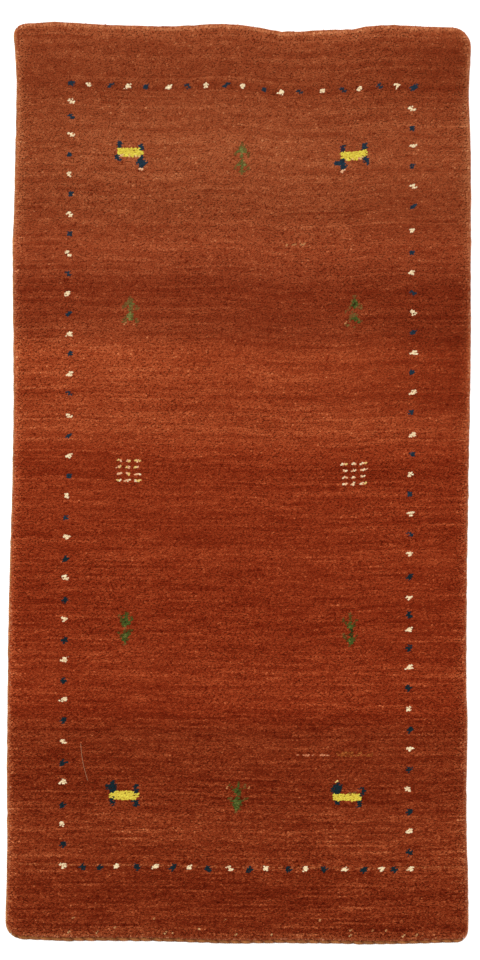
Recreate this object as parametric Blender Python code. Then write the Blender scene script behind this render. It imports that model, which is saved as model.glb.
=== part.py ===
"""A small gabbeh: a hand-knotted wool rug with a thick plain pile, lying flat.

Metres, +Z up. The rug's back lies on z = 0 and the origin is under the middle of its outline.
+Y is the far end of the rug, +X its right side. Four pieces edge the knotted cloth: a wrapped
selvedge along each side and an overcast binding along each end. The pile leans out over them.
"""

import math
from collections import namedtuple

import bmesh
import bpy
import numpy as np

MM = 0.001

# Driving dimensions of the whole rug
RUG_WIDTH = 710 * MM
RUG_LENGTH = 1407 * MM
RUG_THICKNESS = 14 * MM

# Wrapped cords along the four edges
CORD_WIDTH = 7 * MM
CORD_HEIGHT = 5 * MM
CORD_SIDES = 8
GAP = 0.3 * MM

# Wraps that show on the near binding
WRAP_PITCH = 17 * MM
WRAP_DEPTH = 0.7 * MM
WRAP_LEAN = 6 * MM
STEPS_PER_WRAP = 4

# Spacing of the points along an edge, and of the lines across the two faces
EDGE_STEP = 22 * MM
HALF_ARC_STEPS = 3
TOP_GRID = 48 * MM
BACK_GRID = 120 * MM
SNAP = 2 * MM
LEVEL = 0.01 * MM
TANGENT_REACH = 1 * MM
CORNER_ROUNDS = 6
SHARP_ANGLE = math.radians(50)

# Slow rise and fall of the pile's surface, as two slanting waves
SWELL_FROM = 10 * MM
Wave = namedtuple("Wave", "height length across_lean along_lean")
SWELLS = (
    Wave(height=0.3 * MM, length=310 * MM, across_lean=0.35, along_lean=1.0),
    Wave(height=0.2 * MM, length=190 * MM, across_lean=1.0, along_lean=-0.25),
)

WOOL_RUST = (0.258, 0.044, 0.011, 1.0)
WOOL_TAN = (0.330, 0.125, 0.045, 1.0)
WOOL_ROUGHNESS = 0.95

# Where an edge runs: its distance in from the side of the rug's box, in millimetres,
# at places along the edge that are measured from the rug's middle
Station = namedtuple("Station", "along inset")

LEFT_STATIONS = (
    Station(along=-669, inset=0.0),
    Station(along=-545, inset=2.3),
    Station(along=-453, inset=2.0),
    Station(along=-316, inset=3.0),
    Station(along=-178, inset=5.1),
    Station(along=-87, inset=7.6),
    Station(along=5, inset=10.4),
    Station(along=127, inset=12.2),
    Station(along=233, inset=11.6),
    Station(along=355, inset=10.5),
    Station(along=416, inset=12.7),
    Station(along=508, inset=14.8),
    Station(along=600, inset=16.6),
    Station(along=645, inset=15.4),
    Station(along=675, inset=12.6),
)
RIGHT_STATIONS = (
    Station(along=-669, inset=4.0),
    Station(along=-590, inset=4.7),
    Station(along=-545, inset=6.6),
    Station(along=-453, inset=6.7),
    Station(along=-361, inset=5.4),
    Station(along=-316, inset=6.9),
    Station(along=-178, inset=6.6),
    Station(along=-87, inset=5.5),
    Station(along=5, inset=3.8),
    Station(along=96, inset=2.3),
    Station(along=188, inset=0.6),
    Station(along=355, inset=0.3),
    Station(along=508, inset=0.5),
    Station(along=600, inset=3.3),
    Station(along=655, inset=0.2),
)
FAR_STATIONS = (
    Station(along=-318, inset=2.8),
    Station(along=-279, inset=0.0),
    Station(along=-211, inset=4.2),
    Station(along=-165, inset=5.6),
    Station(along=-97, inset=6.8),
    Station(along=-28, inset=3.1),
    Station(along=18, inset=6.4),
    Station(along=64, inset=14.9),
    Station(along=87, inset=14.9),
    Station(along=132, inset=12.5),
    Station(along=178, inset=11.2),
    Station(along=201, inset=6.3),
    Station(along=247, inset=5.0),
    Station(along=281, inset=7.1),
    Station(along=315, inset=8.4),
)
NEAR_STATIONS = (
    Station(along=-318, inset=7.8),
    Station(along=-279, inset=5.7),
    Station(along=-211, inset=5.6),
    Station(along=-119, inset=4.7),
    Station(along=-74, inset=3.2),
    Station(along=-5, inset=1.2),
    Station(along=64, inset=1.9),
    Station(along=132, inset=1.4),
    Station(along=201, inset=0.1),
    Station(along=247, inset=0.5),
    Station(along=315, inset=2.6),
)

# The four edges in order, anticlockwise seen from above. Forward is the sign of that
# direction along the edge, radius is that of the corner where the edge starts, and cord_shows
# is how far the cord stands out past the pile, both in millimetres
Edge = namedtuple("Edge", "name outward stations forward radius cord_shows step steps_per_station")

EDGES = (
    Edge("end_binding_near", (0, -1), NEAR_STATIONS, 1, 27, 4.0, WRAP_PITCH, STEPS_PER_WRAP),
    Edge("selvedge_right", (1, 0), RIGHT_STATIONS, 1, 21, 2.0, EDGE_STEP, 1),
    Edge("end_binding_far", (0, 1), FAR_STATIONS, -1, 30, 1.5, EDGE_STEP, 1),
    Edge("selvedge_left", (-1, 0), LEFT_STATIONS, -1, 18, 2.5, EDGE_STEP, 1),
)

# Section of the cloth's edge, from the back up to the pile, in millimetres: the height, and
# the distance in from the rug's outline, or from the pile's own widest line where from_pile
EdgeRing = namedtuple("EdgeRing", "name from_pile inset height")

CORD_SEAT = CORD_WIDTH / MM + GAP / MM
CORD_ROOF = CORD_HEIGHT / MM + GAP / MM
EDGE_RINGS = (
    EdgeRing("back", False, CORD_SEAT, 0.0),
    EdgeRing("seat", False, CORD_SEAT, CORD_ROOF),
    EdgeRing("tuck", True, 1.6, CORD_ROOF),
    EdgeRing("widest", True, 0.0, 7.8),
    EdgeRing("shoulder", True, 1.3, 10.8),
    EdgeRing("crown", True, 4.8, 13.0),
    EdgeRing("top", True, 11.0, RUG_THICKNESS / MM),
)

# A point of the rug's outline: its place, the direction inwards and the cord's show there
EdgePoint = namedtuple("EdgePoint", "place inward cord_shows")


def smooth_inset(stations, along):
    """Inset in metres at a place along an edge, on a smooth curve through its stations."""
    knots = [station.along * MM for station in stations]
    values = [station.inset * MM for station in stations]
    if along <= knots[0]:
        return values[0]
    if along >= knots[-1]:
        return values[-1]
    here = max(i for i, knot in enumerate(knots) if knot <= along)
    slopes = []
    for i in (here, here + 1):
        low, high = max(i - 1, 0), min(i + 1, len(knots) - 1)
        slopes.append((values[high] - values[low]) / (knots[high] - knots[low]))
    span = knots[here + 1] - knots[here]
    t = (along - knots[here]) / span
    return (
        (1 + 2 * t) * (1 - t) ** 2 * values[here]
        + t * (1 - t) ** 2 * span * slopes[0]
        + t * t * (3 - 2 * t) * values[here + 1]
        - t * t * (1 - t) * span * slopes[1]
    )


def on_edge(edge, along):
    """Place on an edge's own curve. Side edges run along Y, end edges along X."""
    outward = np.array(edge.outward, float)
    half = (RUG_WIDTH if edge.outward[0] else RUG_LENGTH) / 2
    run = np.abs(outward[::-1])
    return run * along + outward * (half - smooth_inset(edge.stations, along))


def run_axis(edge):
    """The axis that an edge runs along: Y, or 1, for a side and X, or 0, for an end."""
    return 1 if edge.outward[0] else 0


def corner_arc(before, after):
    """Centre and radius of the rounded corner between two edges that follow each other."""
    corner = np.zeros(2)
    # Each round moves the place onto one edge and then the other, until it is where they cross
    for _ in range(CORNER_ROUNDS):
        for edge in (before, after):
            along = run_axis(edge)
            corner[1 - along] = on_edge(edge, corner[along])[1 - along]
    radius = after.radius * MM
    return corner - radius * (np.array(before.outward) + np.array(after.outward)), radius


def along_arc(arc, before, after, share):
    """Point at a share of the way round a corner's quarter turn."""
    centre, radius = arc
    angle = share * math.pi / 2
    outward = math.cos(angle) * np.array(before.outward) + math.sin(angle) * np.array(after.outward)
    shows = (before.cord_shows * (1 - share) + after.cord_shows * share) * MM
    return EdgePoint(centre + radius * outward, -outward, shows)


def edge_run(index, steps_per_station):
    """Points along one edge, from the middle of the corner before it to the middle of the next."""
    before, edge, after = (EDGES[(index + step) % len(EDGES)] for step in (-1, 0, 1))
    start_arc = corner_arc(before, edge)
    end_arc = corner_arc(edge, after)
    arc_steps = HALF_ARC_STEPS * steps_per_station
    points = [
        along_arc(start_arc, before, edge, 0.5 + 0.5 * i / arc_steps) for i in range(arc_steps)
    ]
    start, end = start_arc[0][run_axis(edge)], end_arc[0][run_axis(edge)]
    stretches = round(abs(end - start) / edge.step) * steps_per_station
    for i in range(stretches + 1):
        along = start + (end - start) * i / stretches
        ahead = on_edge(edge, along + TANGENT_REACH) - on_edge(edge, along - TANGENT_REACH)
        ahead *= edge.forward / np.linalg.norm(ahead)
        # Inwards is to the left of the way round the rug
        inward = np.array((-ahead[1], ahead[0]))
        points.append(EdgePoint(on_edge(edge, along), inward, edge.cord_shows * MM))
    points += [
        along_arc(end_arc, edge, after, 0.5 * (i + 1) / arc_steps) for i in range(arc_steps)
    ]
    return points


def swell(x, y):
    """Slow rise and fall of the pile surface, which lies a little unevenly."""
    return sum(
        wave.height * math.sin(math.tau * (wave.across_lean * x + wave.along_lean * y) / wave.length)
        for wave in SWELLS
    )


def new_material(name, colour):
    material = bpy.data.materials.new(name)
    material.use_nodes = True
    shader = material.node_tree.nodes["Principled BSDF"]
    shader.inputs["Base Color"].default_value = colour
    shader.inputs["Roughness"].default_value = WOOL_ROUGHNESS
    shader.inputs["Metallic"].default_value = 0.0
    material.diffuse_color = colour
    return material


def add_piece(name, mesh_maker, material):
    """A named object from a function that fills a bmesh."""
    shape = bmesh.new()
    mesh_maker(shape)
    bmesh.ops.recalc_face_normals(shape, faces=shape.faces)
    mesh = bpy.data.meshes.new(name)
    shape.to_mesh(mesh)
    shape.free()
    mesh.shade_smooth()
    mesh.set_sharp_from_angle(angle=SHARP_ANGLE)
    mesh.materials.append(material)
    piece = bpy.data.objects.new(name, mesh)
    bpy.context.scene.collection.objects.link(piece)
    return piece


def bridge_rings(shape, lower, upper):
    """Quads between two rings of equally many points."""
    for i in range(len(lower)):
        j = (i + 1) % len(lower)
        shape.faces.new((lower[i], lower[j], upper[j], upper[i]))


def level_parts(shape, height):
    """The faces that lie flat at a height, with their edges and points."""
    level = [face for face in shape.faces if all(abs(v.co.z - height) < LEVEL for v in face.verts)]
    return list({part for face in level for part in (*face.verts, *face.edges, face)})


def cut_in_squares(shape, height, pitch):
    """Cuts the flat face at a height along evenly spaced lines in X and Y."""
    for axis, reach in ((0, RUG_WIDTH / 2), (1, RUG_LENGTH / 2)):
        squares = round(2 * reach / pitch)
        for i in range(1, squares):
            place, normal = [0, 0, height], [0, 0, 0]
            place[axis] = -reach + 2 * reach * i / squares
            normal[axis] = 1
            parts = level_parts(shape, height)
            bmesh.ops.bisect_plane(shape, geom=parts, dist=SNAP, plane_co=place, plane_no=normal)


def pile_cloth(shape):
    """The knotted cloth and its pile: a flat back, a seat for the cords and a rounded rim."""
    outline = []
    for index in range(len(EDGES)):
        outline += edge_run(index, 1)[:-1]
    rings = []
    for row in EDGE_RINGS:
        ring = []
        for point in outline:
            inset = row.inset * MM + (point.cord_shows if row.from_pile else 0)
            place = point.place + point.inward * inset
            ring.append(shape.verts.new((*place, row.height * MM)))
        rings.append(ring)
    for lower, upper in zip(rings, rings[1:]):
        bridge_rings(shape, lower, upper)
    shape.faces.new(rings[0][::-1])
    shape.faces.new(rings[-1])
    cut_in_squares(shape, 0.0, BACK_GRID)
    cut_in_squares(shape, RUG_THICKNESS, TOP_GRID)
    for vertex in shape.verts:
        if vertex.co.z > SWELL_FROM:
            vertex.co.z += swell(vertex.co.x, vertex.co.y)


def cord_section(along, wrapped):
    """Places across a cord and their heights, with a flat foot, drawn in between the wraps."""
    turn = math.tau / CORD_SIDES
    flat = math.cos(turn / 2)
    section = []
    for i in range(CORD_SIDES):
        angle = (i + 0.5) * turn
        across = CORD_WIDTH / 2 * math.cos(angle) / flat
        height = CORD_HEIGHT / 2 * (1 + math.sin(angle) / flat)
        if wrapped:
            phase = math.tau * (along - WRAP_LEAN * across / CORD_WIDTH) / WRAP_PITCH
            draw_in = WRAP_DEPTH * (1 - math.cos(phase)) / 2
            across -= draw_in * math.cos(angle)
            height -= draw_in * max(0.0, math.sin(angle))
        section.append((across, height))
    return section


def edge_cord(index):
    """A maker for the cord along one edge, closed at its ends in the middle of the corners."""
    edge = EDGES[index]

    def fill(shape):
        points = edge_run(index, edge.steps_per_station)
        wrapped = edge.steps_per_station > 1
        along = 0.0
        rows = []
        for i, point in enumerate(points):
            place = point.place
            if i:
                along += float(np.linalg.norm(place - points[i - 1].place))
            tangent = np.array((point.inward[1], -point.inward[0]))
            # The two end faces draw back from the next cord by half the gap each
            if i in (0, len(points) - 1):
                place = place + tangent * (GAP / 2 if i == 0 else -GAP / 2)
            row = []
            for across, height in cord_section(along, wrapped):
                spot = place + point.inward * (CORD_WIDTH / 2 + across)
                row.append(shape.verts.new((*spot, height)))
            rows.append(row)
        for lower, upper in zip(rows, rows[1:]):
            bridge_rings(shape, lower, upper)
        shape.faces.new(rows[0][::-1])
        shape.faces.new(rows[-1])

    return fill


def main():
    for leftover in list(bpy.data.objects):
        bpy.data.objects.remove(leftover, do_unlink=True)
    add_piece("pile_cloth", pile_cloth, new_material("rust_wool_pile", WOOL_RUST))
    for index, edge in enumerate(EDGES):
        add_piece(edge.name, edge_cord(index), new_material(edge.name + "_wool", WOOL_TAN))


main()
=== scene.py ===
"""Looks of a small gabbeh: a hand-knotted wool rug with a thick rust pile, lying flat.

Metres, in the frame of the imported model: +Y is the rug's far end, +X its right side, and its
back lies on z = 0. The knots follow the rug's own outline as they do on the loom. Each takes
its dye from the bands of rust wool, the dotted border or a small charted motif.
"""

import math
from collections import namedtuple

import bmesh
import bpy
import numpy as np
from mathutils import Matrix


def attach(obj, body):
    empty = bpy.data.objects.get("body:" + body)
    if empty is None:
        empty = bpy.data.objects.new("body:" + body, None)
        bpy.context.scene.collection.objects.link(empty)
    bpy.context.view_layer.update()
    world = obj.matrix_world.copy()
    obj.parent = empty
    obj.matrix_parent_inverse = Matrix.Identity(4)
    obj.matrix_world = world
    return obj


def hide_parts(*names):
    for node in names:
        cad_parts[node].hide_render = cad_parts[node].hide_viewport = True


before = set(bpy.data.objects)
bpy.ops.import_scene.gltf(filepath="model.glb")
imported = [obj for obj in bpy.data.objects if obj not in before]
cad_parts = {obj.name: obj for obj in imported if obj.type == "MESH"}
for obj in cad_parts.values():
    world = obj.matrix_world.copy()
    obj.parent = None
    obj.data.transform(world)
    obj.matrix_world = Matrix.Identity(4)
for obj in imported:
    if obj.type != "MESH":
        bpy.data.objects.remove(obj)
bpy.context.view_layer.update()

MM = 0.001
SEED = 1407

# The loom: knots across and rows along, each knot with two strands of pile
COLUMNS = 206
ROWS = 410
KNOT = 3.35 * MM
STRANDS_PER_KNOT = 2
STRAND_ASIDE = KNOT / 4
STRAND_AHEAD = KNOT / 5
FIRST_KNOT_INSET = 5 * MM
NEAR_KNOT_INSET = 6.5 * MM
NEAR_SET_BACK = 1.5 * MM
CORNER_ZONE = 45 * MM
DROPPED_INSET = 4.2 * MM

# The height of the solid's widest line, how near to a height its points count as level, and
# how near to each other two count as one
WIDEST_HEIGHT = 7.8 * MM
LEVEL = 0.3 * MM
SAME_POINT = 0.1 * MM

# The pile's rounded shoulder: distance in from the widest line, and height
Shoulder = namedtuple("Shoulder", "inset height")
PILE_SHOULDER = (
    Shoulder(inset=-1.0 * MM, height=7.0 * MM),
    Shoulder(inset=0.0 * MM, height=8.6 * MM),
    Shoulder(inset=1.3 * MM, height=10.9 * MM),
    Shoulder(inset=4.8 * MM, height=13.0 * MM),
    Shoulder(inset=11.0 * MM, height=14.0 * MM),
)

# The ground under the pile, from its flat back up to its flat face. Both are cut in squares,
# and points that lie near a cut snap to it
GROUND_SECTION = (
    Shoulder(inset=6.0 * MM, height=0.6 * MM),
    Shoulder(inset=5.4 * MM, height=5.5 * MM),
    Shoulder(inset=2.4 * MM, height=5.7 * MM),
    Shoulder(inset=1.8 * MM, height=7.4 * MM),
    Shoulder(inset=3.6 * MM, height=9.0 * MM),
    Shoulder(inset=7.2 * MM, height=10.2 * MM),
    Shoulder(inset=12.5 * MM, height=10.8 * MM),
)
GROUND_SQUARE = 18 * MM
SNAP = 1 * MM

# The back of the knots: its height over the floor, and how far every other knot stands up
BACK_HEIGHT = 0.25 * MM
BACK_KNOT_RELIEF = 0.15 * MM

# Slow rise and fall of the pile's surface, as on the solid
Wave = namedtuple("Wave", "height length across_lean along_lean")
SWELLS = (
    Wave(height=0.3 * MM, length=310 * MM, across_lean=0.35, along_lean=1.0),
    Wave(height=0.2 * MM, length=190 * MM, across_lean=1.0, along_lean=-0.25),
)

# One cut strand of pile: a four-sided tip, open below, that covers part of its neighbours. Its
# corners are set out across its lean, with one level direction to start from
STRAND_SIDES = 4
STRAND_CROSSWAYS = (0.31, 0.95, 0.0)
STRAND_REACH = 2.9 * MM
STRAND_RADIUS = 2.1 * MM
STRAND_RADIUS_SPREAD = (0.85, 1.2)
STRAND_SQUASH_FAR = (1.05, 0.95)
STRAND_SQUASH_NEAR = (1.25, 0.80)
STRAND_SCATTER = 0.50 * MM
STRAND_LEAN = 0.45 * MM
STRAND_HEIGHT_SCATTER = 0.25 * MM
FAN_OUT = 5 * MM
FAN_OUT_FADES = 9 * MM

# Strands of the pile's side, in rows round the rim below its shoulder
# Painted light on the pile near the edge, where the splayed strands' sides catch the light. It fades
# inwards
EDGE_PAINTED_LIGHT = 0.85
EDGE_PAINTED_LIGHT_FADES = 5.5 * MM
RIM_PITCH = 1.9 * MM
RIM_SCATTER = 0.7 * MM
# Share of salmon wool mixed into the rim strands as painted sheen, and how seldom it reaches it
RIM_PAINTED_SHEEN = 0.5
RIM_PAINTED_SHEEN_POWER = 2
RIM_UPTURN = 2
RIM_TONE = 0.15
# Painted light over all the rim strands
RIM_PAINTED_LIGHT = 1.15
RIM_ROWS = (
    Shoulder(inset=0.7 * MM, height=5.7 * MM),
    Shoulder(inset=0.1 * MM, height=7.0 * MM),
    Shoulder(inset=0.0 * MM, height=8.3 * MM),
    Shoulder(inset=0.6 * MM, height=9.6 * MM),
)

# Cords along the edges. Turns of yarn draw each in and let some of the gap wool show between
# them, and coarse wraps do so in narrower grooves. A cord wanders a little in and out
Cord = namedtuple("Cord", "name node slot outward shows wrap lean wool gap_wool")
CORD_WIDTH = 7 * MM
CORD_HEIGHT = 5 * MM
CORD_SIDES = 8
CORD_STEPS_PER_TURN = 4
YARN_TURN = 3.4 * MM
YARN_DEPTH = 0.35 * MM
TURN_TONE = 0.16
TURN_GAP = 0.55
# Painted shade in the groove between turns
GROOVE_PAINTED_SHADE = 0.25
WRAP_DEPTH = 0.5 * MM
WRAP_GROOVE_POWER = 3
WRAP_GAP_POWER = 4
CORD_WOBBLE = 0.25 * MM
CORD_WOBBLE_LENGTH = 9 * MM

# Wools, as linear colours matched to the photograph's. The first five are the rust lots
WOOLS = {
    "tawny": (0.261, 0.0597, 0.0193),
    "dull_copper": (0.270, 0.0547, 0.0173),
    "copper": (0.270, 0.0458, 0.0127),
    "brick": (0.209, 0.0266, 0.0065),
    "umber": (0.166, 0.0219, 0.0053),
    "salmon": (0.435, 0.150, 0.0680),
    "pale_rust": (0.245, 0.0517, 0.0152),
    "tan": (0.340, 0.133, 0.0490),
    "bark": (0.272, 0.0986, 0.0286),
    "brown": (0.115, 0.0310, 0.0095),
    "cream": (0.585, 0.456, 0.279),
    "peach": (0.544, 0.292, 0.156),
    "straw": (0.517, 0.340, 0.109),
    "yellow": (0.490, 0.388, 0.0442),
    "navy": (0.0115, 0.0225, 0.0345),
    "ink": (0.0061, 0.0143, 0.0190),
    "plum": (0.0272, 0.0122, 0.0245),
    "leaf": (0.0430, 0.0600, 0.0110),
    "light_leaf": (0.0900, 0.102, 0.0210),
    "dull_leaf": (0.0600, 0.0390, 0.0075),
    "dark_leaf": (0.0210, 0.0240, 0.0050),
    "faded_leaf": (0.0860, 0.0810, 0.0195),
    "faded_light_leaf": (0.137, 0.134, 0.0350),
    "faded_dull_leaf": (0.118, 0.0640, 0.0160),
    "moss": (0.125, 0.0520, 0.0140),
    "orange": (0.231, 0.0530, 0.0109),
    "oak": (0.250, 0.0910, 0.0275),
}

CORDS = (
    Cord(name="near_end_overcast", node="end_binding_near", slot="end_binding_wool",
         outward=(0, -1), shows=4.0 * MM, wrap=17 * MM, lean=6 * MM,
         wool="oak", gap_wool="brown"),
    Cord(name="right_selvedge_wraps", node="selvedge_right", slot="selvedge_wool",
         outward=(1, 0), shows=2.0 * MM, wrap=YARN_TURN, lean=2 * MM,
         wool="salmon", gap_wool="bark"),
    Cord(name="far_end_overcast", node="end_binding_far", slot="end_binding_wool",
         outward=(0, 1), shows=1.5 * MM, wrap=YARN_TURN, lean=2 * MM,
         wool="tan", gap_wool="copper"),
    Cord(name="left_selvedge_wraps", node="selvedge_left", slot="selvedge_wool",
         outward=(-1, 0), shows=2.5 * MM, wrap=YARN_TURN, lean=2 * MM,
         wool="tan", gap_wool="bark"),
)

# Abrash: the rust lots from the far end to the near end, with tones matched to the stripes of
# the photograph. Each row of knots shades from one band's middle to the next
Band = namedtuple("Band", "row wool tone")
ABRASH = (
    Band(0, "tawny", 0.88),
    Band(26, "tawny", 0.79),
    Band(45, "tawny", 1.01),
    Band(64, "tawny", 1.02),
    Band(81, "tawny", 0.89),
    Band(99, "dull_copper", 0.96),
    Band(118, "dull_copper", 0.65),
    Band(136, "dull_copper", 0.73),
    Band(147, "copper", 0.96),
    Band(155, "copper", 1.00),
    Band(165, "copper", 0.86),
    Band(181, "copper", 1.01),
    Band(190, "brick", 1.10),
    Band(199, "brick", 0.90),
    Band(210, "brick", 1.03),
    Band(226, "brick", 0.92),
    Band(236, "brick", 1.04),
    Band(260, "brick", 0.90),
    Band(289, "brick", 1.03),
    Band(298, "brick", 1.00),
    Band(308, "brick", 0.88),
    Band(318, "umber", 1.06),
    Band(334, "umber", 1.06),
    Band(344, "umber", 0.94),
    Band(361, "umber", 1.22),
    Band(371, "umber", 1.08),
    Band(390, "umber", 0.89),
    Band(409, "umber", 1.00),
)

# Lighter and darker places, painted shade along the sides, and a stain, with their middle and reach
# in metres from the rug's middle
Patch = namedtuple("Patch", "name x y reach_x reach_y tone")
PATCHES = (
    Patch("lighter left of the middle", -0.22, 0.19, 0.13, 0.09, 1.16),
    Patch("darker right of the middle", 0.33, 0.18, 0.13, 0.08, 0.74),
    Patch("darker far right corner", 0.33, 0.64, 0.10, 0.05, 0.80),
    Patch("shaded left of the far animals", -0.36, 0.48, 0.10, 0.20, 0.86),
    Patch("shaded right of the far animals", 0.30, 0.46, 0.16, 0.18, 0.87),
    Patch("shaded left side", -0.35, 0.13, 0.05, 0.09, 0.88),
    Patch("shaded right side", 0.35, 0.06, 0.06, 0.30, 0.91),
    Patch("lighter near left corner", -0.31, -0.63, 0.05, 0.05, 1.18),
    Patch("lighter near right side", 0.29, -0.61, 0.13, 0.06, 1.20),
    Patch("wine stain by the near edge", 0.247, -0.682, 0.012, 0.006, 0.55),
)

# Unevenness of the rust wool from row to row, along one length of yarn, by clump, knot and
# strand. Pairs of tones, and the dark flecks, are for the far end and for the near end, whose
# yarn is streakier. Clumps are counted in knots across and along: round far off, long nearby
YARN_LENGTH_KNOTS = (6, 46)
ROW_TONE = 0.040
LENGTH_TONE = (0.045, 0.120)
ROUND_CLUMP = (3, 2)
LONG_CLUMP = (10, 1)
CLUMP_TONE = (0.060, 0.115)
KNOT_TONE = 0.045
STRAND_TONE = (0.010, 0.160)
LIGHT_FLECKS = 0.030
PALE_FLECKS = 0.0008
DARK_FLECKS = (0.012, 0.048)
LIGHT_FLECK_TONE = 1.35
PALE_FLECK_TONE = 1.20
DARK_FLECK_TONE = 0.60
# Painted shade at the strands' roots, deep between their neighbours, and painted light on their tips
ROOT_PAINTED_SHADE = 0.84
TIP_PAINTED_LIGHT = 1.04
MOTIF_TONE = 0.05
# The motifs' strands get no painted shade at their roots
MOTIF_ROOT_PAINTED_SHADE = 1.00
MOTIF_FULLNESS = 1.12
MOTIF_RISE = 0.15 * MM
# Painted shade on the ground that shows between the strands
GROUND_PAINTED_SHADE = 0.65

# Paler wool has taken up less dye, so its green and blue rise faster than its red. Painted light
# and shade follow the same curve
TONE_POWERS = np.array((1.0, 1.8, 2.2))

# Letters of the charts
CHART_WOOLS = {
    "Y": "yellow",
    "N": "navy",
    "K": "ink",
    "P": "plum",
    "C": "cream",
    "E": "peach",
    "S": "straw",
    "G": "leaf",
    "L": "light_leaf",
    "O": "dull_leaf",
    "D": "dark_leaf",
    "F": "faded_leaf",
    "H": "faded_light_leaf",
    "U": "faded_dull_leaf",
    "M": "moss",
    "R": "tan",
}

# Small motifs, one letter a knot, as seen from above with the far end up. Column and row are
# those of the chart's first knot
Motif = namedtuple("Motif", "name column row chart")
MOTIFS = (
    Motif("goat, far left, on its back", 44, 51, (
        ".NN............",
        ".NN........NN..",
        ".NN........NN..",
        ".YYYYYYYYYYNN..",
        ".YYYYYYYYYYYY..",
        ".YYYYYYYYYYYY..",
        "NNESYYSYYSYSN..",
        "NN.........NN..",
        ".NN.......NNNN.",
        "..........NNNNN",
        "...........NNN.",
        "...........NN..",
        "...........EE..",
    )),
    Motif("goat, far right, on its back", 145, 51, (
        "...PN........NN.",
        "...PN........NN.",
        "...PP........NN.",
        "...YYYYYYYYYYYY.",
        "...YYYYYYYYYYYY.",
        "...YYYYYYYYYYYY.",
        "...NNSYYSYYESNN.",
        "NNNNN........NNN",
        "NNNNN.........NN",
        "...NNN.........N",
        "...NN...........",
        "...EE...........",
    )),
    Motif("goat, near left", 43, 340, (
        "...K...........",
        "..KK...........",
        "KKKKK........KK",
        "KKKKK........K.",
        "..KKK........KK",
        "..KKYYYYYYYYYKK",
        "..YYYYYYYYYYYYY",
        "..YYYYYYYYYYYYY",
        "..KKYYYYYYYYYY.",
        "..KK........KKK",
        "..KK.........KK",
        "...K.........KK",
    )),
    Motif("goat, near right", 146, 339, (
        "..S.............",
        "..KK............",
        ".KKKK...........",
        "KKKKK........KK.",
        "KKKKK.........KK",
        ".KKK....M.M...K.",
        ".YYYYYYYYYYYYKK.",
        ".YYYYYYYYYYYYY..",
        ".YYYYYYYYYYYYY..",
        "..KK........KK..",
        "..KK........KK..",
        "............KK..",
    )),
    Motif("plant, far middle", 99, 51, (
        "...M...",
        "...U...",
        "..UFU..",
        "..FHF..",
        ".FFHFF.",
        "U..H..U",
        "M..F..M",
        "...U...",
        "...F...",
        "..UFU..",
        ".UFFHU.",
        "U..F..U",
        "M..F..M",
        "..UFU..",
        "...U...",
    )),
    Motif("plant, upper left", 48, 121, (
        "...M....",
        "...UU...",
        "..UUU...",
        ".MUFFU..",
        "MU.FU.M.",
        "M..UU.MU",
        "...FM.M.",
        "...HM...",
        "..FHF...",
        ".MHHF...",
        "MU.HF.U.",
        "UM....UM",
        ".R....M.",
    )),
    Motif("plant, upper right", 150, 119, (
        "....M...",
        "....M...",
        "...UGU..",
        "...UGG..",
        "...GDGU.",
        "..M.GU.U",
        ".M....MM",
        "M..M....",
        "...MU...",
        "..MUUU..",
        "..UGGG..",
        "..M.GGU.",
        "R.....GM",
        "MU......",
        "....M...",
    )),
    Motif("plant, lower left", 48, 264, (
        "...OO...",
        "M..GO...",
        ".O.GG.O.",
        ".OGGG.G.",
        ".OGDGG..",
        "..GGGO..",
        "..OL....",
        "...M....",
        "...O.OO.",
        "O..OGO..",
        ".OGLGG..",
        ".OGLG...",
        "..GGO...",
        "...G....",
        "...M....",
    )),
    Motif("plant, lower right", 151, 263, (
        "...M...",
        "...O...",
        "M..O...",
        "O..O..O",
        ".O.G.O.",
        "..OGGO.",
        "..GLG..",
        "...DD..",
        "....D..",
        "M..DO..",
        "OM..D.O",
        ".O.GGO.",
        "..OLGO.",
        "...GG..",
        "...O...",
    )),
    Motif("plant, near middle", 98, 340, (
        ".....O.....",
        ".O...G..M..",
        "R.O..G..O.R",
        "...OGGO....",
        "....GDG....",
        "....OGO....",
        ".....O.....",
        ".OM.GG..MO.",
        "..OGLGGO...",
        "...GLLG....",
        "...GGLO....",
        "....GG.....",
        "....LO.....",
        "....M......",
    )),
    Motif("dashes, left", 46, 195, (
        "SE..ES..SES",
        "...........",
        "...........",
        "ES..SE..SE.",
        "...........",
        "...........",
        "EE..ES..EEC",
        "...........",
        "...........",
        "SC..EC..CSS",
    )),
    Motif("dashes, right", 149, 195, (
        "CES..CE..CES",
        "............",
        "............",
        ".EC..EC..ECE",
        "............",
        "............",
        ".CE..CE..EC.",
        "............",
        "............",
        ".CE..EC..CES",
    )),
)

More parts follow.
